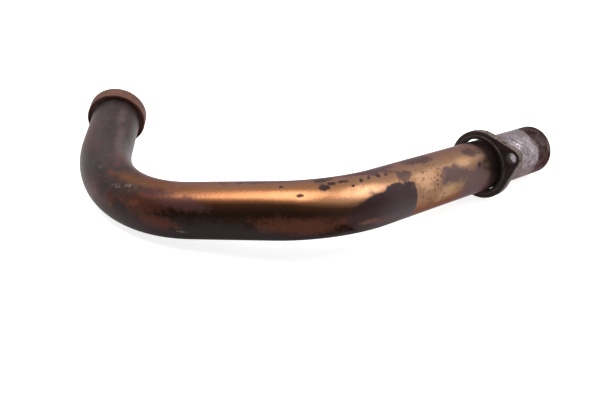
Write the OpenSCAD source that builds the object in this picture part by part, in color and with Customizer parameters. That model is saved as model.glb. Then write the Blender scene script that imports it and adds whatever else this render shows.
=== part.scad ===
// Bent steel head pipe of a motorcycle exhaust, lying as it comes to rest.
// The origin is the middle of the tube's mouth at the port, +Z is up, and lengths are in millimetres.

/* [Tube] */
// Outside diameter of the tube
pipe_d = 42; // [30:0.5:60]
// Wall of the tube
pipe_wall = 1.6; // [1:0.1:3]
// Break on the edges of the cut outlet
edge_break = 0.4; // [0.1:0.1:0.5]

/* [Bends] */
// Thinning of the wall from each side where the tube is bent
bend_thinning = 0.05; // [0.03:0.01:0.2]
// Straight leg from the end of the tube in the collar to the elbow
leg_run = 58.5; // [40:0.5:120]
// Centreline radius of the elbow under the port
elbow_r = 117; // [90:1:180]
// Turn of the elbow in degrees
elbow_angle = 73; // [50:0.5:85]
// Straight run between the two bends
mid_run = 63.7; // [30:0.1:120]
// Roll between the planes of the two bends in degrees
roll_angle = -24.7; // [-40:0.1:-5]
// Centreline radius of the bend before the outlet
sweep_r = 76; // [65:1:120]
// Turn of the bend before the outlet in degrees
sweep_angle = 58.9; // [40:0.1:70]
// Straight run from the second bend to the cut outlet
outlet_run = 204; // [130:1:300]

/* [Port collar] */
// Wall of the collar around the tube
collar_wall = 4.5; // [3.5:0.05:10]
// Length of the collar along the tube
collar_len = 13.5; // [10:0.5:24]
// Distance from the port face to the end of the tube inside the collar
tube_setback = 2; // [1:0.5:4]
// Gap between the tube and the bore of the collar
collar_fit = 0.1; // [0.05:0.05:0.3]
// Depth of the dish turned into the back of the collar
dish_depth = 2; // [0.5:0.5:4]
// Width of the rim left around the dish
dish_rim = 1.3; // [0.8:0.1:2]
// Chamfer around the port face
port_chamfer = 1; // [0.3:0.1:1.2]
// Chamfer around the back rim
rim_chamfer = 0.4; // [0.1:0.1:0.6]
// Width of the weld that closes the end of the tube
weld_leg = 1.2; // [0.6:0.1:1.4]

/* [Loose flange] */
// Distance between the two stud holes
stud_pitch = 65.5; // [58:0.5:90]
// Diameter of the stud holes
stud_hole_d = 9; // [6:0.5:10]
// Width of metal around a stud hole
lug_rim = 3; // [2:0.5:6]
// Width of the round middle outside the bore
hub_rim = 6.7; // [4:0.1:8]
// Thickness of the flange
flange_t = 6; // [4:0.5:12]
// Radial play of the bore on the tube, enough to pass the bends
flange_play = 1; // [0.7:0.1:3]
// Height of the lip around the bore
lip_h = 1.2; // [0.5:0.1:2.5]
// Width of the lip around the bore
lip_w = 2.8; // [1.5:0.1:3.5]
// Chamfer on the outside of the lip
lip_chamfer = 0.5; // [0.1:0.1:0.5]

/* [Lie of the flange] */
// Distance from the cut outlet to the face of the flange on the bend's side
flange_from_end = 78.3; // [30:0.1:110]
// Turn of the flange around the tube in degrees
flange_angle = -14.7; // [-60:0.1:60]
// Lean of the flange about its first cross axis in degrees
lean_angle_a = -3; // [-4:0.5:4]
// Lean of the flange about its second cross axis in degrees
lean_angle_b = -3.5; // [-4:0.5:4]
// Gap left where the tube sits in the bore
flange_seat = 0.3; // [0.1:0.1:0.5]

/* [Lie of the pipe] */
// Turn of the port axis about X in degrees
lie_angle_x = 100.4; // [60:0.1:130]
// Turn about Y in degrees
lie_angle_y = -12.4; // [-40:0.1:40]
// Turn about Z in degrees
lie_angle_z = 1.4; // [-40:0.1:40]

/* [Hidden] */
$fn = 96;
pipe_r = pipe_d / 2;
bore_r = pipe_r - pipe_wall;
collar_bore_r = pipe_r + collar_fit;
collar_r = collar_bore_r + collar_wall;
dish_r = collar_r - dish_rim;
hub_bore_r = pipe_r + flange_play;
hub_r = hub_bore_r + hub_rim;
lug_r = stud_hole_d / 2 + lug_rim;
lip_r = hub_bore_r + lip_w;
// Depth at which the lip's boss is rooted in the plate
lip_root = flange_t / 2;
stud_offset = stud_pitch / 2;
// Sideways reach of the leaning bore at its two faces
lean_reach = (flange_t + lip_h) * sin(norm([lean_angle_a, lean_angle_b]));
flange_lift = flange_play - flange_seat - lean_reach / 2;
// Angle at which the straight sides of the flange touch its round ends
side_angle = acos((hub_r - lug_r) / stud_offset);
// Length by which a cut runs past the face that it opens
cut_over = 1;
// Length by which a straight run laps the start of the thinner bend
bend_lap = 0.2;

// Straight tube from the origin along +Z, lapping the bend at one or both ends
module straight_tube(run, lap_before = 0, lap_after = 0) {
    translate([0, 0, -lap_before])
        linear_extrude(lap_before + run + lap_after)
            difference() {
                circle(r = pipe_r);
                circle(r = bore_r);
            }
}

// Tube that starts along +Z at the origin and bends towards +X
module bent_tube(radius, turn) {
    translate([radius, 0, 0])
        rotate([90, 0, 180])
            rotate_extrude(angle = turn)
                translate([radius, 0])
                    difference() {
                        circle(r = pipe_r - bend_thinning);
                        circle(r = bore_r + bend_thinning);
                    }
}

// Puts its children where such a bend ends, along its new direction
module after_bend(radius, turn) {
    translate([radius * (1 - cos(turn)), 0, radius * sin(turn)])
        rotate([0, turn, 0])
            children();
}

module after_run(run) {
    translate([0, 0, run]) children();
}

// Puts its children at the mouth of the tube, with the gas leaving along +Z
module at_port() {
    rotate([lie_angle_x, lie_angle_y, lie_angle_z]) children();
}

// Puts its children at the start of the outlet run, with the gas leaving along +Z
module at_outlet_run() {
    at_port() after_run(leg_run)
        after_bend(elbow_r, elbow_angle)
            rotate([0, 0, roll_angle]) after_run(mid_run)
                after_bend(sweep_r, sweep_angle)
                    children();
}

// Outlet run, a straight tube with both edges of its cut end broken
module outlet_tube() {
    rotate_extrude()
        polygon([
            [bore_r, -bend_lap],
            [pipe_r, -bend_lap],
            [pipe_r, outlet_run - edge_break],
            [pipe_r - edge_break, outlet_run],
            [bore_r + edge_break, outlet_run],
            [bore_r, outlet_run - edge_break]
        ]);
}

module head_pipe() {
    color("dimgray") {
        at_port() {
            straight_tube(leg_run, lap_after = bend_lap);
            after_run(leg_run) {
                bent_tube(elbow_r, elbow_angle);
                after_bend(elbow_r, elbow_angle) rotate([0, 0, roll_angle]) {
                    straight_tube(mid_run, bend_lap, bend_lap);
                    after_run(mid_run) bent_tube(sweep_r, sweep_angle);
                }
            }
        }
        at_outlet_run() outlet_tube();
    }
}

// Turned ring around the port end, with the weld that closes the end of the tube
module port_collar() {
    color("sienna")
        at_port() after_run(-tube_setback) rotate_extrude()
            polygon([
                [collar_bore_r, 0],
                [collar_r - port_chamfer, 0],
                [collar_r, port_chamfer],
                [collar_r, collar_len - rim_chamfer],
                [collar_r - rim_chamfer, collar_len],
                [dish_r, collar_len],
                [dish_r, collar_len - dish_depth],
                [collar_bore_r, collar_len - dish_depth],
                [collar_bore_r, tube_setback],
                [pipe_r - weld_leg, tube_setback],
                [collar_bore_r, tube_setback - weld_leg]
            ]);
}

// Round middle, two lugs and the straight sides that touch them
module flange_outline() {
    circle(r = hub_r);
    for (side = [-1, 1]) {
        translate([side * stud_offset, 0]) circle(r = lug_r);
        polygon([
            [0, 0],
            [side * hub_r * cos(side_angle), hub_r * sin(side_angle)],
            [side * (stud_offset + lug_r * cos(side_angle)), lug_r * sin(side_angle)],
            [side * stud_offset, 0],
            [side * (stud_offset + lug_r * cos(side_angle)), -lug_r * sin(side_angle)],
            [side * hub_r * cos(side_angle), -hub_r * sin(side_angle)]
        ]);
    }
}

// Raised boss on the face towards the port, which the bore leaves as a lip around itself
module lip_boss() {
    rotate_extrude()
        polygon([
            [0, -lip_h],
            [lip_r - lip_chamfer, -lip_h],
            [lip_r, lip_chamfer - lip_h],
            [lip_r, lip_root],
            [0, lip_root]
        ]);
}

// Puts its children on the tube as the loose flange lies, its face at z = 0
module on_tube() {
    at_outlet_run()
        translate([0, flange_lift, outlet_run - flange_from_end])
            rotate([lean_angle_a, lean_angle_b, flange_angle])
                children();
}

module stud_flange() {
    color("saddlebrown")
        on_tube()
            difference() {
                union() {
                    linear_extrude(flange_t) flange_outline();
                    lip_boss();
                }
                translate([0, 0, -lip_h - cut_over])
                    cylinder(r = hub_bore_r, h = lip_h + flange_t + 2 * cut_over);
                for (side = [-1, 1])
                    translate([side * stud_offset, 0, -cut_over])
                        cylinder(d = stud_hole_d, h = flange_t + 2 * cut_over);
            }
}

head_pipe();
port_collar();
stud_flange();
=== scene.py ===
from math import acos, cos, pi, radians, sin
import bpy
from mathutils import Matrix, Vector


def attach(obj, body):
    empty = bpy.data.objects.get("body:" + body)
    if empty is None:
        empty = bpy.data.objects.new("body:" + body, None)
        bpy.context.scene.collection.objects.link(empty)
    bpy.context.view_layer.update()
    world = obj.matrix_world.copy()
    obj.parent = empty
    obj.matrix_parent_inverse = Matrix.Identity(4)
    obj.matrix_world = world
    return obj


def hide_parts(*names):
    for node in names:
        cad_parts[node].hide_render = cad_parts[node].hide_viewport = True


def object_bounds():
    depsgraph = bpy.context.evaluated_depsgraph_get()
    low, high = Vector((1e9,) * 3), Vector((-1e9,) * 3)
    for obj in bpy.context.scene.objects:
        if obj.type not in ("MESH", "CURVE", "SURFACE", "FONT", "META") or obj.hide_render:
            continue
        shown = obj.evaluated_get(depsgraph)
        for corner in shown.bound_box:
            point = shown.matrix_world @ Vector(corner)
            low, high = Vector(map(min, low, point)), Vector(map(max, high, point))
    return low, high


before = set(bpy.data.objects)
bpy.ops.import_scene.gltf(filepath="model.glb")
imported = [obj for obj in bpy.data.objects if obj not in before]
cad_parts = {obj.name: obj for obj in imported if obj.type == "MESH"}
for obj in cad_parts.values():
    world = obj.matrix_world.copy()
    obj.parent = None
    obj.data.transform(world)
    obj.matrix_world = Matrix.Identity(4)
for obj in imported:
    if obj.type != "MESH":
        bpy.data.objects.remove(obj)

from types import SimpleNamespace

import bmesh
import bpy
from mathutils import Matrix, Vector

cad_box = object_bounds()

# Head pipe. One mild steel tube, cut to length and bent twice on a mandrel: a wide elbow below
# the port, then a tighter sweep towards the silencer. The bare steel has been heated and has
# rusted, so it runs from grey oxide through copper and straw colours to a flaky grey end.
tube_radius = 0.02095
tube_bore_radius = 0.0194
tube_edge = 0.0004
leg_run, mid_run, outlet_run = 0.0585, 0.0637, 0.204
elbow_radius, elbow_angle = 0.117, radians(73)
sweep_radius, sweep_angle = 0.076, radians(58.9)
roll_between_bends = radians(-24.7)
tube_lie = (Matrix.Rotation(radians(1.4), 4, "Z") @ Matrix.Rotation(radians(-12.4), 4, "Y")
            @ Matrix.Rotation(radians(100.4), 4, "X"))
row_step = 0.002
columns = 96
grain_depth = 0.0004

# Stretches of the finish, as distances from the port along the tube
leg_fades_out = (0.11, 0.15)
elbow_fades_out = (0.14, 0.19)
elbow_stretch = (0.115, 0.19)
sweep_crown_stretch = (0.302, 0.338)
plum_stretch = (0.2, 0.3697)
speck_stretch = (0.374, 0.408)
dark_band = (0.4597, 0.4842)
flaky_stretch = (0.4837, 0.5325)
cut_end = (0.5325, 0.6)


def after_run(place, run):
    return place @ Matrix.Translation((0, 0, run))


def after_bend(place, radius, angle):
    reach = Matrix.Translation((radius * (1 - cos(angle)), 0, radius * sin(angle)))
    return place @ reach @ Matrix.Rotation(angle, 4, "Y")


elbow_start = after_run(tube_lie, leg_run)
elbow_end = after_bend(elbow_start, elbow_radius, elbow_angle)
mid_start = elbow_end @ Matrix.Rotation(roll_between_bends, 4, "Z")
sweep_start = after_run(mid_start, mid_run)
outlet_start = after_bend(sweep_start, sweep_radius, sweep_angle)
tube_parts = (
    (leg_run, lambda part: after_run(tube_lie, part * leg_run)),
    (elbow_radius * elbow_angle, lambda part: after_bend(elbow_start, elbow_radius, part * elbow_angle)),
    (mid_run, lambda part: after_run(mid_start, part * mid_run)),
    (sweep_radius * sweep_angle, lambda part: after_bend(sweep_start, sweep_radius, part * sweep_angle)),
    (outlet_run, lambda part: after_run(outlet_start, part * outlet_run)),
)
tube_length = sum(length for length, place in tube_parts)


def at_distance(along):
    """The middle of the tube at a distance from the port."""
    for length, place in tube_parts:
        if along <= length:
            return place(along / length).translation
        along -= length
    return tube_parts[-1][1](1).translation


def tube_path():
    """The line that the tube was bent along."""
    steps = round(tube_length / row_step)
    line = bpy.data.curves.new("tube_path", "CURVE")
    line.dimensions = "3D"
    line.twist_mode = "MINIMUM"
    spline = line.splines.new("POLY")
    spline.points.add(steps)
    for number, point in enumerate(spline.points):
        point.co = (*at_distance(tube_length * number / steps), 1)
    path = bpy.data.objects.new("tube_path", line)
    bpy.context.collection.objects.link(path)
    return path


def closed_grid(rows, columns):
    """The faces of a grid of points that closes on itself both ways."""
    faces = []
    for row in range(rows):
        after = (row + 1) % rows
        for column in range(columns):
            beside = (column + 1) % columns
            faces.append((row * columns + column, row * columns + beside,
                          after * columns + beside, after * columns + column))
    return faces


def rolled_sheet():
    """The tube's wall laid flat: x is the turn round the tube, y the distance along, z the radius."""
    steps = round(tube_length / row_step)
    outside = [(tube_length * number / steps, tube_radius) for number in range(1, steps)]
    inside = [(along, tube_bore_radius) for along, radius in reversed(outside)]
    port_lip = [(tube_edge, tube_bore_radius), (0, tube_bore_radius + tube_edge),
                (0, tube_radius - tube_edge), (tube_edge, tube_radius)]
    free_lip = [(tube_length - along, radius) for along, radius in reversed(port_lip)]
    rows = port_lip + outside + free_lip + inside
    points = [(2 * pi * column / columns, along, radius) for along, radius in rows
              for column in range(columns)]
    corners = []
    for row, (along, radius) in enumerate(rows):
        next_along = rows[(row + 1) % len(rows)][0]
        for column in range(columns):
            left, right = column / columns, (column + 1) / columns
            corners += [(left, along), (right, along), (right, next_along), (left, next_along)]
    mesh = bpy.data.meshes.new("head_tube")
    mesh.from_pydata(points, [], closed_grid(len(rows), columns))
    mesh.uv_layers.new(name="round_and_along")
    for corner, uv in zip(mesh.uv_layers[0].data, corners):
        corner.uv = uv
    return mesh


def step(tree, kind, inputs=None, **settings):
    """One step of a finish or of a shape; its inputs are values or other steps' outputs."""
    made = tree.nodes.new(kind)
    for name, value in settings.items():
        setattr(made, name, value)
    for socket, value in (inputs or {}).items():
        if isinstance(value, bpy.types.NodeSocket):
            tree.links.new(value, made.inputs[socket])
        else:
            made.inputs[socket].default_value = value
    return made


def maths(tree, operation, first, second=0.0):
    return step(tree, "ShaderNodeMath", {0: first, 1: second}, operation=operation).outputs[0]


def vector_maths(tree, operation, first, second=(0, 0, 0)):
    return step(tree, "ShaderNodeVectorMath", {0: first, 1: second}, operation=operation).outputs[0]


def scaled(tree, vector, factor):
    return step(tree, "ShaderNodeVectorMath", {0: vector, "Scale": factor}, operation="SCALE").outputs[0]


def bend_round_path():
    """Rolls a flat sheet round a path."""
    tree = bpy.data.node_groups.new("bend_round_path", "GeometryNodeTree")
    tree.interface.new_socket("Sheet", in_out="INPUT", socket_type="NodeSocketGeometry")
    tree.interface.new_socket("Path", in_out="INPUT", socket_type="NodeSocketObject")
    tree.interface.new_socket("Finish", in_out="INPUT", socket_type="NodeSocketMaterial")
    tree.interface.new_socket("Tube", in_out="OUTPUT", socket_type="NodeSocketGeometry")
    given = step(tree, "NodeGroupInput")
    path = step(tree, "GeometryNodeObjectInfo", {"Object": given.outputs["Path"]})
    position = step(tree, "GeometryNodeInputPosition").outputs[0]
    flat = step(tree, "ShaderNodeSeparateXYZ", {0: position})
    place = step(tree, "GeometryNodeSampleCurve", {
        "Curves": path.outputs["Geometry"], "Length": flat.outputs["Y"]},
        mode="LENGTH", use_all_curves=True)
    side = vector_maths(tree, "CROSS_PRODUCT", place.outputs["Tangent"], place.outputs["Normal"])
    out = scaled(tree, place.outputs["Normal"], maths(tree, "COSINE", flat.outputs["X"]))
    across = scaled(tree, side, maths(tree, "SINE", flat.outputs["X"]))
    away = scaled(tree, vector_maths(tree, "ADD", out, across), flat.outputs["Z"])
    rolled = step(tree, "GeometryNodeSetPosition", {
        "Geometry": given.outputs["Sheet"],
        "Position": vector_maths(tree, "ADD", place.outputs["Position"], away)})
    real = step(tree, "GeometryNodeRealizeInstances", {"Geometry": rolled.outputs[0]})
    finished = step(tree, "GeometryNodeSetMaterial", {
        "Geometry": real.outputs[0], "Material": given.outputs["Finish"]})
    step(tree, "NodeGroupOutput", {0: finished.outputs[0]})
    return tree


def noise(tree, place, scale, detail, rough=0.62):
    """Cloudy tones, finer with a higher scale."""
    tones = step(tree, "ShaderNodeTexNoise", {
        "Vector": place, "Scale": float(scale), "Detail": float(detail), "Roughness": rough})
    return tones.outputs["Fac"]


def wander(tree, tone, reach):
    """A cloudy tone as a shift to either side of zero."""
    return maths(tree, "MULTIPLY", maths(tree, "SUBTRACT", tone, 0.5), reach)


def shade(red, green, blue):
    """A colour as it is seen, made a linear one."""
    return (*((part / 255) ** 2.2 for part in (red, green, blue)), 1)


def worn_patch():
    """A patch with a torn edge: 1 inside an oval round Centre, 0 outside it."""
    tree = bpy.data.node_groups.new("worn_patch", "ShaderNodeTree")
    for name, kind in (("Centre", "NodeSocketVector"), ("Size", "NodeSocketVector"),
                       ("Turn", "NodeSocketFloat"), ("Ragged", "NodeSocketFloat"),
                       ("Edge", "NodeSocketFloat")):
        tree.interface.new_socket(name, in_out="INPUT", socket_type=kind)
    tree.interface.new_socket("Mask", in_out="OUTPUT", socket_type="NodeSocketFloat")
    given = step(tree, "NodeGroupInput")
    place = step(tree, "ShaderNodeTexCoord").outputs["Object"]
    away = vector_maths(tree, "SUBTRACT", place, given.outputs["Centre"])
    turn_back = maths(tree, "MULTIPLY", given.outputs["Turn"], -1.0)
    turned = step(tree, "ShaderNodeVectorRotate", {"Vector": away, "Angle": turn_back},
                  rotation_type="Z_AXIS")
    oval = vector_maths(tree, "DIVIDE", turned.outputs[0], given.outputs["Size"])
    far = step(tree, "ShaderNodeVectorMath", {0: oval}, operation="LENGTH").outputs["Value"]
    bays = wander(tree, noise(tree, place, 75, 9, 0.68), 1.0)
    spatter = wander(tree, noise(tree, place, 420, 4), 0.45)
    uneven = maths(tree, "ADD", bays, spatter)
    torn = maths(tree, "ADD", far, maths(tree, "MULTIPLY", uneven, given.outputs["Ragged"]))
    mask = step(tree, "ShaderNodeMapRange", {
        "Value": torn, "From Min": maths(tree, "SUBTRACT", 1.0, given.outputs["Edge"]),
        "From Max": maths(tree, "ADD", 1.0, given.outputs["Edge"]), "To Min": 1.0, "To Max": 0.0},
        interpolation_type="SMOOTHSTEP")
    step(tree, "NodeGroupOutput", {0: mask.outputs[0]})
    return tree


patch_tree = worn_patch()


def patch(tree, centre, size, turn=0.0, ragged=2.0, edge=0.1):
    """A worn patch in a finish; its centre and size are in millimetres and its turn in degrees."""
    made = step(tree, "ShaderNodeGroup", node_tree=patch_tree)
    made.inputs["Centre"].default_value = Vector(centre) / 1000
    made.inputs["Size"].default_value = Vector(size) / 1000
    made.inputs["Turn"].default_value = radians(turn)
    made.inputs["Ragged"].default_value = ragged
    made.inputs["Edge"].default_value = edge
    return made.outputs[0]


def patches(tree, places, ragged, edge):
    """Several worn patches in one mask; each place is a centre, a size and a turn."""
    together = 0.0
    for centre, size, turn in places:
        together = maths(tree, "MAXIMUM", together, patch(tree, centre, size, turn, ragged, edge))
    return together


def where_all(tree, *masks):
    """1 only where every mask is 1."""
    together = masks[0]
    for mask in masks[1:]:
        together = maths(tree, "MULTIPLY", together, mask)
    return together


def spread(tree, value, low, high, first=0.0, last=1.0):
    """Makes the range from low to high into the range from first to last."""
    return step(tree, "ShaderNodeMapRange", {
        "Value": value, "From Min": low, "From Max": high, "To Min": first, "To Max": last}).outputs[0]


def between(tree, value, low, high, soft):
    """1 where a value lies between two limits."""
    rise = spread(tree, value, low - soft, low + soft)
    fall = spread(tree, value, high - soft, high + soft, 1.0, 0.0)
    return where_all(tree, rise, fall)


# A Mix step takes its two numbers at sockets 2 and 3, and its two colours at 6 and 7
def mixed(tree, amount, first, second, blend="MIX"):
    """Two colours mixed: the first where the amount is 0, the second where it is 1."""
    return step(tree, "ShaderNodeMix", {0: amount, 6: first, 7: second},
                data_type="RGBA", blend_type=blend).outputs[2]


def mixed_number(tree, amount, first, second):
    """Two numbers mixed in the same way."""
    return step(tree, "ShaderNodeMix", {0: amount, 2: first, 3: second}).outputs[0]


def ramp(tree, value, colours, length=1.0):
    """Colours that follow a value, each stated at its own place along a length."""
    made = step(tree, "ShaderNodeValToRGB", {0: maths(tree, "DIVIDE", value, length)})
    while len(made.color_ramp.elements) < len(colours):
        made.color_ramp.elements.new(0.5)
    for element, (place, colour) in zip(made.color_ramp.elements, colours):
        element.position = place / length
        element.color = colour
    return made.outputs["Color"]


def coat(tree, finish, mask, colour, rough, metal, strength=1.0):
    """Lays one more coat over a finish where the mask is 1, as strongly as stated."""
    amount = maths(tree, "MULTIPLY", mask, strength)
    return {
        "colour": mixed(tree, amount, finish["colour"], colour),
        "rough": mixed_number(tree, amount, finish["rough"], rough),
        "metal": mixed_number(tree, amount, finish["metal"], metal),
    }


def tube_readings(tree):
    """What the tube's finish follows: where a point lies, which way it faces, and cloudy tones."""
    read = SimpleNamespace()
    read.place = step(tree, "ShaderNodeTexCoord").outputs["Object"]
    normal = step(tree, "ShaderNodeAttribute", attribute_name="facing").outputs["Vector"]
    read.facing = step(tree, "ShaderNodeSeparateXYZ", {0: normal}).outputs
    flat_place = step(tree, "ShaderNodeUVMap", uv_map="round_and_along").outputs[0]
    sheet = step(tree, "ShaderNodeSeparateXYZ", {0: flat_place}).outputs
    read.from_port = sheet["Y"]
    read.cloud = noise(tree, read.place, 45, 6)
    read.mottle = noise(tree, read.place, 130, 7)
    read.grain = noise(tree, read.place, 480, 5)
    turn = maths(tree, "MULTIPLY", sheet["X"], 2 * pi)
    rolled = step(tree, "ShaderNodeCombineXYZ", {
        0: maths(tree, "COSINE", turn), 1: maths(tree, "SINE", turn),
        2: maths(tree, "MULTIPLY", read.from_port, 14.0)}).outputs[0]
    read.streak = noise(tree, rolled, 3.2, 8, 0.7)
    read.ring_marks = noise(tree, vector_maths(tree, "MULTIPLY", rolled, (1, 1, 40)), 1.5, 4)
    read.along = maths(tree, "ADD", read.from_port, wander(tree, read.cloud, 0.05))
    read.close_along = maths(tree, "ADD", read.from_port, wander(tree, read.mottle, 0.008))
    read.ragged_along = maths(tree, "ADD", read.close_along, wander(tree, read.cloud, 0.03))
    read.on_leg = spread(tree, read.along, *leg_fades_out, 1.0, 0.0)
    read.past_elbow = spread(tree, read.along, *elbow_fades_out)
    # How far each point faces up, lifted on the sweep's crown; the painted shade of the flanks and the
    # underside follows it.
    sweep_crown = between(tree, read.from_port, *sweep_crown_stretch, 0.016)
    upward = maths(tree, "ADD", read.facing["Z"], maths(tree, "MULTIPLY", sweep_crown, 0.23))
    read.upward = maths(tree, "ADD", upward, wander(tree, read.cloud, 0.06))
    return read


def heat_colours(tree, read):
    """The bare steel under the marks: near black on the leg, copper past the elbow, then straw, with a
    painted reflection on the side that faces back.
    """
    heat = ramp(tree, read.along, (
        (0.000, shade(44, 37, 38)), (0.100, shade(46, 38, 39)), (0.135, shade(54, 44, 43)),
        (0.160, shade(84, 62, 54)), (0.200, shade(128, 86, 64)), (0.245, shade(142, 95, 66)),
        (0.300, shade(144, 100, 70)), (0.330, shade(148, 110, 84)), (0.380, shade(158, 122, 96)),
        (0.430, shade(150, 118, 96)), (0.475, shade(92, 74, 68))), tube_length)
    finish = {
        "colour": heat,
        "rough": spread(tree, read.along, 0.12, 0.2, 0.46, 0.27),
        "metal": spread(tree, read.along, 0.1, 0.19, 0.2, 1.0)}
    brown_cloud = where_all(tree, spread(tree, read.mottle, 0.48, 0.66), read.past_elbow)
    finish = coat(tree, finish, brown_cloud, shade(112, 74, 58), rough=0.34, metal=0.9, strength=0.25)
    # Paler mauve where the tube faces back, past the elbow: a painted reflection of the surroundings
    # behind it.
    backward = maths(tree, "ADD", read.facing["Y"], maths(tree, "MULTIPLY", read.cloud, 0.3))
    behind = where_all(tree, spread(tree, backward, -0.15, 0.15), read.past_elbow)
    return coat(tree, finish, behind, shade(132, 106, 99), rough=0.36, metal=0.85, strength=0.75)


def painted_flank_shade(tree, finish, read):
    """Painted shade that darkens the sides and the underside of the tube past the elbow."""
    white = shade(255, 255, 255)
    # Darker the further a point faces down: painted shade, half as strong past the sweep.
    shade_by_facing = ramp(tree, read.upward, (
        (0.00, shade(60, 60, 64)), (0.25, shade(60, 62, 70)), (0.46, shade(80, 82, 92)),
        (0.60, shade(108, 104, 106)), (0.70, shade(180, 174, 170)), (0.79, white)))
    weaker = spread(tree, read.along, 0.32, 0.37, 0.0, 0.5)
    shade_by_facing = mixed(tree, maths(tree, "SUBTRACT", read.past_elbow, weaker), white, shade_by_facing)
    finish["colour"] = mixed(tree, 1.0, finish["colour"], shade_by_facing, "MULTIPLY")
    return finish


def leg_marks(tree, finish, read):
    """Streaks along the dark leg, marks drawn round it, a worn red side, and painted light down its other
    side.
    """
    pale_streak = where_all(tree, read.on_leg, spread(tree, read.streak, 0.46, 0.7))
    finish = coat(tree, finish, pale_streak, shade(68, 56, 57), rough=0.44, metal=0.2, strength=0.8)
    red_streak = where_all(tree, read.on_leg, spread(tree, read.streak, 0.48, 0.34))
    finish = coat(tree, finish, red_streak, shade(68, 46, 43), rough=0.5, metal=0.2, strength=0.7)
    drawn_mark = where_all(tree, read.on_leg, spread(tree, read.ring_marks, 0.5, 0.62),
                           spread(tree, read.mottle, 0.46, 0.6))
    finish = coat(tree, finish, drawn_mark, shade(84, 70, 71), rough=0.42, metal=0.3, strength=0.4)
    # A paler strip down the leg's right side: painted light from the bright side.
    painted_light_side = patches(tree, (
        ((13, -38, 11), (3.2, 14, 5), 6), ((18, -66, 4), (3, 18, 6), 8),
        ((23, -92, 0), (3, 10, 6), 12)), ragged=3.4, edge=0.9)
    finish = coat(tree, finish, painted_light_side, shade(112, 92, 93), rough=0.42, metal=0.3, strength=0.42)
    red_side = patches(tree, (
        ((-9, -62, 2), (7, 34, 12), 0), ((4, -92, 3), (5, 10, 5), 0),
        ((28, -108, 0), (7, 14, 8), 10), ((10, -134, -14), (8, 20, 10), -30),
        ((26, -133, 2), (3, 3, 3), 0)), ragged=3.0, edge=0.5)
    finish = coat(tree, finish, red_side, shade(80, 53, 48), rough=0.5, metal=0.2, strength=0.65)
    dark_swath = patches(tree, (
        ((3, -100, 2), (5, 13, 6), 0), ((16, -126, 0), (6, 16, 7), 25),
        ((36, -150, -3), (18, 6, 6), -30), ((60, -163, 0), (20, 4, 5), -22)), ragged=2.2, edge=0.4)
    return coat(tree, finish, dark_swath, shade(44, 37, 38), rough=0.42, metal=0.3, strength=0.7)


def elbow_marks(tree, finish, read):
    """Fine mottling on the elbow, painted shade below the tube, red rust beside it, and a copper streak
    that is partly a painted highlight.
    """
    on_elbow = between(tree, read.along, *elbow_stretch, 0.02)
    fine_mottle = noise(tree, read.place, 240, 6)
    reddened = where_all(tree, on_elbow, spread(tree, fine_mottle, 0.52, 0.62, 0.0, 0.4))
    finish = coat(tree, finish, reddened, shade(92, 56, 48), rough=0.44, metal=0.5)
    blackened = where_all(tree, on_elbow, spread(tree, fine_mottle, 0.48, 0.38, 0.0, 0.55))
    finish = coat(tree, finish, blackened, shade(40, 34, 35), rough=0.46, metal=0.5)
    # Dark patches along the bottom of the tube: painted shade of the underside.
    underside_shade = patches(tree, (
        ((133, -197, -24), (75, 22, 19), -14), ((208, -194, -25), (60, 22, 17), 14),
        ((52, -168, -30), (66, 40, 17), -25), ((40, -158, -14), (11, 11, 6), -30)), ragged=1.4, edge=0.3)
    finish = coat(tree, finish, underside_shade, shade(30, 27, 27), rough=0.46, metal=0.6, strength=0.85)
    red_rust = patches(tree, (
        ((58, -170, -4), (20, 7, 5), -25), ((69, -180, -15), (14, 8, 5), -20),
        ((32, -151, -11), (7, 5, 5), -40), ((168, -206, -3), (28, 8, 7), -5),
        ((208, -199, 1), (16, 6, 3), 12), ((226, -190, -3), (9, 5, 2.5), 25)), ragged=2.4, edge=0.5)
    finish = coat(tree, finish, red_rust, shade(72, 43, 34), rough=0.4, metal=0.8, strength=0.65)
    # A copper streak on the elbow: its real copper colour, and also a painted highlight.
    copper_streak_and_highlight = patches(tree, (
        ((40, -142, 4), (14, 4, 5), -40), ((60, -155, 7), (20, 5, 5), -25)), ragged=2.6, edge=0.5)
    finish = coat(tree, finish, copper_streak_and_highlight, shade(122, 84, 58), rough=0.32, metal=0.9, strength=0.65)
    orange_rim = patches(tree, (
        ((27, -133, 2), (6, 1.6, 2), -42), ((36, -142, 1), (8, 1.6, 2), -38),
        ((62, -168, 1), (10, 1.6, 1.6), -28), ((49, -166, -6), (5, 2, 2), -30)), ragged=3.8, edge=0.6)
    finish = coat(tree, finish, orange_rim, shade(108, 62, 48), rough=0.42, metal=0.7, strength=0.5)
    violet = patches(tree, (
        ((88, -180, 1), (24, 5, 4), -14), ((70, -168, 3), (14, 4, 3), -20)), ragged=2.6, edge=0.5)
    return coat(tree, finish, violet, shade(78, 52, 52), rough=0.36, metal=0.85, strength=0.75)


def mauve_marks(tree, finish, read):
    """Mauve oxide on the crown of the tube."""
    mauve = patches(tree, (
        ((287, -133, 5), (17, 9, 8), 42), ((309, -116, -4), (14, 12, 9), 42),
        ((230, -148, 20), (34, 9, 5), 45), ((253, -135, 19), (19, 9, 5), 42),
        ((147, -172, 17), (60, 8, 6), -14), ((243, -163, 16), (7, 5, 5), 45),
        ((302, -104, 9), (10, 6, 5), 42), ((205, -171, 22), (28, 6, 4), 14),
        ((309, -119, -10), (19, 9, 11), 42)), ragged=2.8, edge=0.22)
    return coat(tree, finish, mauve, shade(77, 62, 63), rough=0.36, metal=0.7, strength=0.85)


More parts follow.
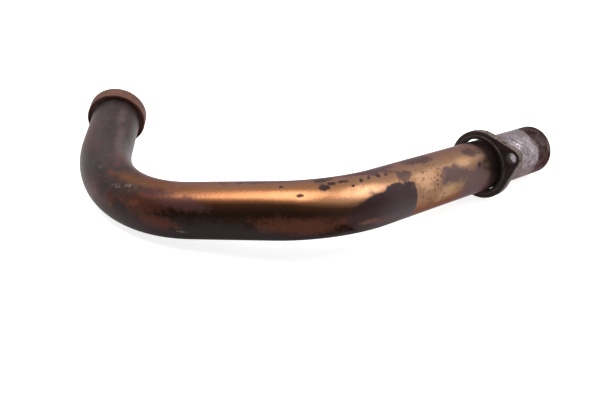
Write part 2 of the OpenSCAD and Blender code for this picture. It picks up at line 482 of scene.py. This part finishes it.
def plum_marks(tree, finish, read):
    """The dark plum patch on the sweep, the spots round it and the rusty steel below it."""
    plum = patches(tree, (
        ((230, -188, 1), (32, 14, 14.5), 31), ((238, -180, 3), (18, 14, 15), 40),
        ((247, -169, -1), (14, 12, 16), 42)), ragged=0.25, edge=0.05)
    plum = where_all(tree, plum, between(tree, read.from_port, *plum_stretch, 0.0006),
                     spread(tree, read.along, 0.312, 0.336, 0.3, 1.0))
    plum_spots = patches(tree, (
        ((187, -192, 21), (3.5, 2, 2), 0), ((192, -187, 22), (3, 2, 2), 20),
        ((198, -185, 22), (4.5, 2, 2), 20), ((206, -188, 21), (1.6, 1.4, 1.4), 0),
        ((170, -197, 17), (2.6, 1.4, 1.4), 0), ((157, -188, 19), (2, 1, 1), 0),
        ((310, -112, 4), (3, 2.5, 2.5), 0), ((212, -181, 22), (1.8, 2.4, 1.5), 0),
        ((217, -177, 22), (1.3, 2.4, 1.5), 0), ((224, -172, 21), (1.5, 2.4, 1.5), 0),
        ((230, -169, 21), (1.6, 2, 1.5), 0), ((185, -183, 22), (8, 1.4, 2), 10)), ragged=3.6, edge=0.4)
    plum_and_spots = maths(tree, "MAXIMUM", plum, plum_spots)
    finish = coat(tree, finish, plum_and_spots, shade(46, 33, 35), rough=0.4, metal=0.4)
    deep_plum = where_all(tree, plum, spread(tree, read.along, 0.318, 0.346, 0.75, 0.0))
    finish = coat(tree, finish, deep_plum, shade(30, 20, 19), rough=0.42, metal=0.8)
    under_plum = patches(tree, (
        ((218, -194, -3), (10, 4, 2), 30), ((228, -188, -6), (8, 4, 1.6), 34)), ragged=2.6, edge=0.5)
    return coat(tree, finish, under_plum, shade(96, 64, 56), rough=0.42, metal=0.7, strength=0.7)


def sweep_marks(tree, finish, read):
    """Painted shade on the underside of the tube, then straw and bright copper past the sweep, the bright
    copper partly a painted highlight.
    """
    # Near black where the tube faces down, up to the sweep: painted shade of the underside.
    below = where_all(tree, read.past_elbow, spread(tree, read.along, 0.36, 0.39, 1.0, 0.0),
                      spread(tree, read.upward, -0.2, -0.7, 0.0, 0.6))
    finish = coat(tree, finish, below, shade(30, 27, 27), rough=0.5, metal=0.9)
    straw = patch(tree, (283, -142, -4), (12, 8, 5), turn=42, ragged=3.0, edge=0.5)
    finish = coat(tree, finish, straw, shade(150, 124, 94), rough=0.34, metal=0.9, strength=0.6)
    # Pale copper patches on the outlet run, which also paint its highlight brighter.
    bright = patches(tree, (
        ((295, -119, 10), (9, 4, 5), 42), ((262, -154, 10), (13, 5, 6), 42)), ragged=3.0, edge=0.5)
    return coat(tree, finish, bright, shade(176, 138, 108), rough=0.32, metal=0.9, strength=0.7)


def specks_and_scuffs(tree, finish, read):
    """Rust specks past the sweep, and scuffs where the tube has been knocked."""
    shifted = vector_maths(tree, "ADD", read.place, (0.003, 0.001, 0.002))
    dots = step(tree, "ShaderNodeTexVoronoi", {"Vector": shifted, "Scale": 330.0})
    chance = step(tree, "ShaderNodeSeparateColor", {0: dots.outputs["Color"]}).outputs[0]
    dot_size = maths(tree, "MULTIPLY", maths(tree, "ADD", read.grain, chance), 0.4)
    ragged_dot = maths(tree, "ADD", dots.outputs["Distance"], dot_size)
    speck = where_all(tree, spread(tree, ragged_dot, 0.78, 0.64),
                      maths(tree, "GREATER_THAN", chance, 0.2),
                      between(tree, read.close_along, *speck_stretch, 0.008),
                      spread(tree, read.mottle, 0.44, 0.5))
    finish = coat(tree, finish, speck, shade(72, 46, 38), rough=0.5, metal=0.5, strength=0.8)
    scuffs = patches(tree, (
        ((19, -121, 1), (5, 2, 2), 0), ((36, -149, -2), (7, 2, 1.6), -30),
        ((46, -154, 1), (7, 1.4, 1.6), -30), ((86, -184, -19), (5, 2, 1), -20),
        ((238, -175, 13), (1.2, 1.2, 1.2), 0)), ragged=1.0, edge=0.3)
    scratched = where_all(tree, scuffs, spread(tree, read.grain, 0.46, 0.62))
    return coat(tree, finish, scratched, shade(112, 100, 95), rough=0.5, metal=0.3)


def flaky_grey(tree, finish, read):
    """The dark band that the loose flange lies on, tarnish and its painted shadow, then the grey flaky
    pitted stretch after it, painted lighter on top, with painted glints.
    """
    # Tarnish next to the flange, made darker as painted shadow of the flange.
    band = between(tree, read.close_along, *dark_band, 0.003)
    finish = coat(tree, finish, band, shade(45, 36, 33), rough=0.44, metal=0.8)
    flakes = maths(tree, "ADD", maths(tree, "MULTIPLY", read.grain, 0.5),
                   maths(tree, "MULTIPLY", read.mottle, 0.5))
    # The flaky grey is made lighter where it faces up: painted light from above, over the flakes.
    lit = maths(tree, "ADD", flakes, maths(tree, "MULTIPLY", read.facing["Z"], 0.09))
    grey = mixed(tree, spread(tree, lit, 0.4, 0.66), shade(74, 66, 67), shade(154, 146, 150))
    flaky = between(tree, read.ragged_along, *flaky_stretch, 0.0012)
    finish = coat(tree, finish, flaky, grey, rough=0.36, metal=0.75)
    pits = where_all(tree, flaky, spread(tree, read.mottle, 0.4, 0.34))
    finish = coat(tree, finish, pits, shade(84, 74, 74), rough=0.5, metal=0.4, strength=0.6)
    smear = patches(tree, (
        ((340, -79, 4), (6, 8, 5), 40), ((336, -66, 9), (5, 6, 5), 40),
        ((371, -52, 2), (5, 6, 5), 40), ((354, -77, -10), (5, 7, 13), 40)), ragged=3.0, edge=0.4)
    smear = where_all(tree, smear, flaky, spread(tree, read.grain, 0.4, 0.56, 0.3, 0.9))
    finish = coat(tree, finish, smear, shade(88, 74, 66), rough=0.5, metal=0.4)
    # Near-white specks on the flaky grey: painted glints.
    painted_glint = patch(tree, (350, -69, 4), (6, 8, 4), turn=40, ragged=1.6, edge=0.4)
    painted_glint = where_all(tree, painted_glint, spread(tree, read.grain, 0.55, 0.62))
    return coat(tree, finish, painted_glint, shade(236, 232, 234), rough=0.3, metal=0.7)


def dark_end(tree, finish, read):
    """The dark stretch at the cut outlet, browned in places and rubbed in others."""
    at_end = between(tree, read.ragged_along, *cut_end, 0.0012)
    finish = coat(tree, finish, at_end, shade(66, 60, 60), rough=0.5, metal=1.0)
    browned = where_all(tree, at_end, spread(tree, read.mottle, 0.5, 0.42))
    finish = coat(tree, finish, browned, shade(55, 44, 40), rough=0.52, metal=1.0, strength=0.8)
    rubbed = where_all(tree, at_end, spread(tree, read.mottle, 0.5, 0.6))
    return coat(tree, finish, rubbed, shade(98, 88, 90), rough=0.46, metal=1.0, strength=0.6)


def bare_material(name):
    """A material with nothing in its tree."""
    material = bpy.data.materials.new(name)
    material.use_nodes = True
    material.node_tree.nodes.clear()
    return material


def metal_skin(tree, finish, grain, relief, edge_tint):
    """Puts a finish on the metal, with a fine relief and a tint for what its edges mirror."""
    bump = step(tree, "ShaderNodeBump", {"Height": grain, "Strength": relief, "Distance": grain_depth})
    skin = step(tree, "ShaderNodeBsdfPrincipled", {
        "Base Color": finish["colour"], "Roughness": finish["rough"], "Metallic": finish["metal"],
        "Specular Tint": edge_tint, "Normal": bump.outputs[0]})
    step(tree, "ShaderNodeOutputMaterial", {0: skin.outputs[0]})


def heated_steel():
    """The tube's finish: heat colours along its length, with oxide, rust and bare patches over them, and
    painted shade, reflection, highlights and glints.
    """
    material = bare_material("heated_steel")
    tree = material.node_tree
    read = tube_readings(tree)
    finish = heat_colours(tree, read)
    for marks in (painted_flank_shade, leg_marks, elbow_marks, mauve_marks, plum_marks, sweep_marks,
                  specks_and_scuffs, flaky_grey, dark_end):
        finish = marks(tree, finish, read)
    metal_skin(tree, finish, read.grain, relief=0.2, edge_tint=(0.46, 0.36, 0.37, 1))
    return material


path = tube_path()
tube = bpy.data.objects.new("head_tube", rolled_sheet())
bpy.context.collection.objects.link(tube)
bending = tube.modifiers.new("bend_round_path", "NODES")
bending.node_group = bend_round_path()
modifier_inputs = {"Path": path, "Finish": heated_steel()}
for socket in bending.node_group.interface.items_tree:
    if socket.name in modifier_inputs:
        bending[socket.identifier] = modifier_inputs[socket.name]
bent = bpy.data.meshes.new_from_object(tube.evaluated_get(bpy.context.evaluated_depsgraph_get()))
tube.modifiers.clear()
tube.data = bent
bent.shade_smooth()
bent.set_sharp_from_angle(angle=radians(35))
facing = bent.attributes.new("facing", "FLOAT_VECTOR", "POINT")
for mark, normal in zip(facing.data, bent.vertex_normals):
    mark.vector = normal.vector
bpy.data.objects.remove(path)
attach(tube, "root")
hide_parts("head_pipe")

# Port collar. A ring turned from steel bar and pressed on the tube's end, which the stud flange
# pulls up against the port gasket. Its back is dished, a weld closes it on the tube's end, and
# it has rusted evenly to a warm brown.
collar_radius, collar_bore_radius, collar_length = 0.0256, 0.0211, 0.0135
tube_setback = 0.002
port_chamfer = 0.001
dish_radius, dish_depth = 0.0243, 0.002
rim_round = 0.0004
weld_leg = 0.0012
collar_columns = 144


def quarter_round(radius, height, size, steps=5):
    """The rounded corner at the outside and top of a turned outline."""
    turns = [part * pi / 2 / steps for part in range(steps + 1)]
    return [(radius - size + size * cos(turn), height - size + size * sin(turn)) for turn in turns]


def turned_ring(name, outline, place):
    """A ring turned to an outline of radius and height, which runs round its section."""
    turns = [2 * pi * column / collar_columns for column in range(collar_columns)]
    points = [(radius * cos(turn), radius * sin(turn), height)
              for radius, height in outline for turn in turns]
    mesh = bpy.data.meshes.new(name)
    mesh.from_pydata(points, [], closed_grid(len(outline), collar_columns))
    mesh.transform(place)
    mesh.shade_smooth()
    mesh.set_sharp_from_angle(angle=radians(30))
    ring = bpy.data.objects.new(name, mesh)
    bpy.context.collection.objects.link(ring)
    return ring


def thin_rust(tree, dark, light, fleck):
    """Thin even rust on turned or pressed steel, as a finish and its grain."""
    place = step(tree, "ShaderNodeTexCoord").outputs["Object"]
    cloud = noise(tree, place, 140, 6, 0.6)
    grain = noise(tree, place, 700, 5, 0.7)
    base = mixed(tree, spread(tree, cloud, 0.3, 0.75), dark, light)
    finish = coat(tree, {"colour": base, "rough": 0.62, "metal": 0.15},
                  spread(tree, grain, 0.6, 0.72), fleck, rough=0.7, metal=0.1, strength=0.6)
    return finish, grain


rust_relief = 0.5
rust_edge_tint = (0.45, 0.4, 0.4, 1)


def turned_rust():
    """Warm brown rust."""
    material = bare_material("turned_rust")
    tree = material.node_tree
    finish, grain = thin_rust(tree, shade(82, 58, 50), shade(116, 78, 65), shade(134, 94, 79))
    metal_skin(tree, finish, grain, rust_relief, rust_edge_tint)
    return material


collar_outline = [
    (collar_bore_radius, 0), (collar_radius - port_chamfer, 0), (collar_radius, port_chamfer),
    *quarter_round(collar_radius, collar_length, rim_round),
    (dish_radius, collar_length), (dish_radius, collar_length - dish_depth),
    (collar_bore_radius, collar_length - dish_depth), (collar_bore_radius, tube_setback),
    (collar_bore_radius - weld_leg, tube_setback), (collar_bore_radius, tube_setback - weld_leg)]
collar = turned_ring("port_ring", collar_outline, after_run(tube_lie, -tube_setback))
collar.data.materials.append(turned_rust())
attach(collar, "root")
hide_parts("port_collar")

# Stud flange. A two-hole oval pressed from steel plate, with a raised lip round its bore. It is
# loose on the tube, where it leans on the outlet run, and has gone almost black with rust, with
# its rubbed outer edge paler than its faces.
flange_bore_radius, flange_hub_radius, flange_lug_radius = 0.022, 0.0287, 0.0075
stud_offset, stud_hole_radius = 0.03275, 0.0045
flange_thickness = 0.006
lip_radius, lip_height, lip_chamfer = 0.0248, 0.0012, 0.0005
flange_from_end = 0.0783
flange_lift = 0.00041
lean_about_x, lean_about_y, turn_on_tube = radians(-3), radians(-3.5), radians(-14.7)
worn_edge = 0.0005
oval_steps, bore_steps, stud_hole_steps = 28, 72, 40


def arc(centre, radius, start, stop, steps):
    """Points along an arc round a middle on the flange's long axis, up to but not at its end."""
    turns = [start + (stop - start) * number / steps for number in range(steps)]
    return [(centre + radius * cos(turn), radius * sin(turn)) for turn in turns]


def flange_oval():
    """The flange's outline: a round middle, two lugs and the straight sides that touch them."""
    side = acos((flange_hub_radius - flange_lug_radius) / stud_offset)
    arcs = ((0, flange_hub_radius, side, pi - side),
            (-stud_offset, flange_lug_radius, pi - side, pi + side),
            (0, flange_hub_radius, pi + side, 2 * pi - side),
            (stud_offset, flange_lug_radius, -side, side))
    points = []
    for centre, radius, start, stop in arcs:
        points += arc(centre, radius, start, stop, oval_steps)
        points.append((centre + radius * cos(stop), radius * sin(stop)))
    return points


def mark_outer_edge(mesh):
    """Marks the faces of the flange's outer edge, which has been rubbed."""
    lug_start = stud_offset * 0.8
    marks = mesh.attributes.new("outer_edge", "FLOAT", "FACE")
    for face, mark in zip(mesh.polygons, marks.data):
        middle = face.center.copy()
        if abs(middle.x) > lug_start:
            middle.x -= stud_offset if middle.x > 0 else -stud_offset
        outward = face.normal.x * middle.x + face.normal.y * middle.y > 0
        mark.value = float(outward and abs(face.normal.z) < 0.75 and face.center.length > lip_radius)


def pressed_flange():
    """The flange flat on its face, with its corners worn round."""
    shape = bmesh.new()

    def loop(points, height):
        corners = [shape.verts.new((x, y, height)) for x, y in points]
        return [shape.edges.new((corner, corners[(number + 1) % len(corners)]))
                for number, corner in enumerate(corners)]

    def circle(centre, radius, height, steps=bore_steps):
        return loop(arc(centre, radius, 0, 2 * pi, steps), height)

    def stud_holes(height):
        return [circle(side * stud_offset, stud_hole_radius, height, stud_hole_steps) for side in (-1, 1)]

    def wall(lower, upper):
        for below, above in zip(lower, upper):
            shape.faces.new((below.verts[0], below.verts[1], above.verts[1], above.verts[0]))

    oval = flange_oval()
    near, far = loop(oval, 0), loop(oval, flange_thickness)
    near_holes, far_holes = stud_holes(0), stud_holes(flange_thickness)
    lip_root = circle(0, lip_radius, 0)
    lip_side = circle(0, lip_radius, lip_chamfer - lip_height)
    lip_top = circle(0, lip_radius - lip_chamfer, -lip_height)
    near_bore = circle(0, flange_bore_radius, -lip_height)
    far_bore = circle(0, flange_bore_radius, flange_thickness)
    for lower, upper in ((near, far), (near_holes[0], far_holes[0]), (near_holes[1], far_holes[1]),
                         (lip_root, lip_side), (lip_side, lip_top), (lip_top, near_bore),
                         (near_bore, far_bore)):
        wall(lower, upper)
    for edges in (near + near_holes[0] + near_holes[1] + lip_root,
                  far + far_holes[0] + far_holes[1] + far_bore):
        bmesh.ops.triangle_fill(shape, use_beauty=True, edges=edges)
    bmesh.ops.recalc_face_normals(shape, faces=shape.faces)
    corners = [edge for edge in shape.edges if edge.calc_face_angle(0) > radians(60)]
    bmesh.ops.bevel(shape, geom=corners, offset=worn_edge, segments=3, profile=0.5, affect="EDGES")
    mesh = bpy.data.meshes.new("stud_plate")
    shape.to_mesh(mesh)
    shape.free()
    mark_outer_edge(mesh)
    return mesh


def black_rust():
    """Almost black rust, with a paler rubbed edge."""
    material = bare_material("black_rust")
    tree = material.node_tree
    finish, grain = thin_rust(tree, shade(27, 18, 16), shade(44, 31, 27), shade(92, 50, 38))
    place = step(tree, "ShaderNodeTexCoord").outputs["Object"]
    edge = step(tree, "ShaderNodeAttribute", attribute_name="outer_edge").outputs["Fac"]
    rubbed = where_all(tree, edge, spread(tree, noise(tree, place, 220, 6), 0.36, 0.52))
    pale = mixed(tree, noise(tree, place, 60, 3), shade(62, 55, 53), shade(130, 114, 104))
    finish["colour"] = mixed(tree, rubbed, finish["colour"], pale)
    metal_skin(tree, finish, grain, rust_relief, rust_edge_tint)
    return material


flange_place = (after_run(outlet_start, outlet_run - flange_from_end)
                @ Matrix.Translation((0, flange_lift, 0)) @ Matrix.Rotation(turn_on_tube, 4, "Z")
                @ Matrix.Rotation(lean_about_y, 4, "Y") @ Matrix.Rotation(lean_about_x, 4, "X"))
flange_mesh = pressed_flange()
flange_mesh.transform(flange_place)
flange_mesh.shade_smooth()
flange_mesh.set_sharp_from_angle(angle=radians(40))
flange_mesh.materials.append(black_rust())
flange = bpy.data.objects.new("stud_plate", flange_mesh)
bpy.context.collection.objects.link(flange)
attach(flange, "root")
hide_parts("stud_flange")

# Camera. Set from the tube's own curves in the photograph: a long lens that looks down on the
# header by 27 degrees.
camera_place = Vector((0.17028, -0.61375, 0.22658))
camera_right = Vector((0.99986, 0.00744, 0.014924))
camera_down = Vector((0.016675, -0.455181, -0.890243))
photo_width = 600
half_pixel = 0.5 / photo_width
camera = bpy.data.objects.new("camera", bpy.data.cameras.new("camera"))
camera.data.lens = 42
camera.data.sensor_width = 36
camera.data.shift_x = -half_pixel
camera.data.shift_y = half_pixel
turn = Matrix((camera_right, -camera_down, camera_right.cross(-camera_down))).transposed().to_4x4()
camera.matrix_world = Matrix.Translation(camera_place) @ turn
bpy.context.collection.objects.link(camera)
bpy.context.scene.camera = camera

# Studio. A white table in white surroundings, which metal mirrors as they are seen. One wide softbox
# above, a second to the front and a weak one to the side give the tube its one bright streak.
table_reach = 6
floor_level = cad_box[0].z


def seen_directly(tree):
    """1 for what the camera sees, straight or in metal; 0 for the soft light thrown on the object."""
    rays = step(tree, "ShaderNodeLightPath").outputs
    mirrored = maths(tree, "MAXIMUM", rays["Is Glossy Ray"], rays["Is Transmission Ray"])
    return maths(tree, "MAXIMUM", rays["Is Camera Ray"], mirrored)


def white_paint():
    """White as it is seen; the light that it throws on the object falls off towards the front left."""
    material = bare_material("table_paint")
    tree = material.node_tree
    seen = seen_directly(tree)
    paper = step(tree, "ShaderNodeBsdfDiffuse", {"Color": (0.8, 0.8, 0.8, 1)})
    glow = step(tree, "ShaderNodeEmission", {"Color": (1, 1, 1, 1), "Strength": 0.85})
    bright = step(tree, "ShaderNodeAddShader", {0: paper.outputs[0], 1: glow.outputs[0]})
    place = step(tree, "ShaderNodeTexCoord").outputs["Object"]
    spot = step(tree, "ShaderNodeSeparateXYZ", {0: place}).outputs
    fall_off = spread(tree, maths(tree, "ADD", spot["X"], spot["Y"]), -0.1, 0.5, 0.04, 0.6)
    dim = step(tree, "ShaderNodeBsdfDiffuse", {"Color": fall_off})
    paint = step(tree, "ShaderNodeMixShader", {0: seen, 1: dim.outputs[0], 2: bright.outputs[0]})
    step(tree, "ShaderNodeOutputMaterial", {0: paint.outputs[0]})
    return material


def white_surroundings():
    """White as they are seen; the soft light that they throw is stronger from behind and the right."""
    world = bpy.data.worlds.new("surroundings")
    world.use_nodes = True
    tree = world.node_tree
    tree.nodes.clear()
    seen = seen_directly(tree)
    way = step(tree, "ShaderNodeTexCoord").outputs["Generated"]
    way = step(tree, "ShaderNodeSeparateXYZ", {0: way}).outputs
    backward = maths(tree, "ADD", way["Y"], maths(tree, "MULTIPLY", way["X"], 0.6))
    tone = mixed(tree, seen, spread(tree, backward, -0.3, 0.8, 0.04, 0.5), (1, 1, 1, 1))
    backdrop = step(tree, "ShaderNodeBackground", {"Color": tone})
    step(tree, "ShaderNodeOutputWorld", {0: backdrop.outputs[0]})
    return world


def softbox(name, place, aim, width, height, power):
    """A rectangular lamp that faces a point on the object."""
    light = bpy.data.lights.new(name, "AREA")
    light.shape = "RECTANGLE"
    light.size = width
    light.size_y = height
    light.energy = power
    lamp = bpy.data.objects.new(name, light)
    turn = (Vector(place) - Vector(aim)).to_track_quat("Z", "Y").to_matrix().to_4x4()
    lamp.matrix_world = Matrix.Translation(place) @ turn
    bpy.context.collection.objects.link(lamp)


table_corners = [(x * table_reach, y * table_reach, floor_level)
                 for x, y in ((-1, -1), (1, -1), (1, 1), (-1, 1))]
table_mesh = bpy.data.meshes.new("table")
table_mesh.from_pydata(table_corners, [], [(0, 1, 2, 3)])
table_mesh.materials.append(white_paint())
table = bpy.data.objects.new("table", table_mesh)
bpy.context.collection.objects.link(table)

softbox("top_softbox", (-0.12, -0.27, 0.95), (-0.05, -0.18, 0), 0.9, 0.6, 8.5)
softbox("front_softbox", (0.8, -0.27, 0.9), (0.22, -0.19, 0), 0.75, 0.6, 6.5)
softbox("side_softbox", (1.4, 0.1, 0.3), (0.2, -0.1, 0), 1.2, 0.9, 3)
bpy.context.scene.world = white_surroundings()
bpy.context.scene.view_settings.view_transform = "Standard"
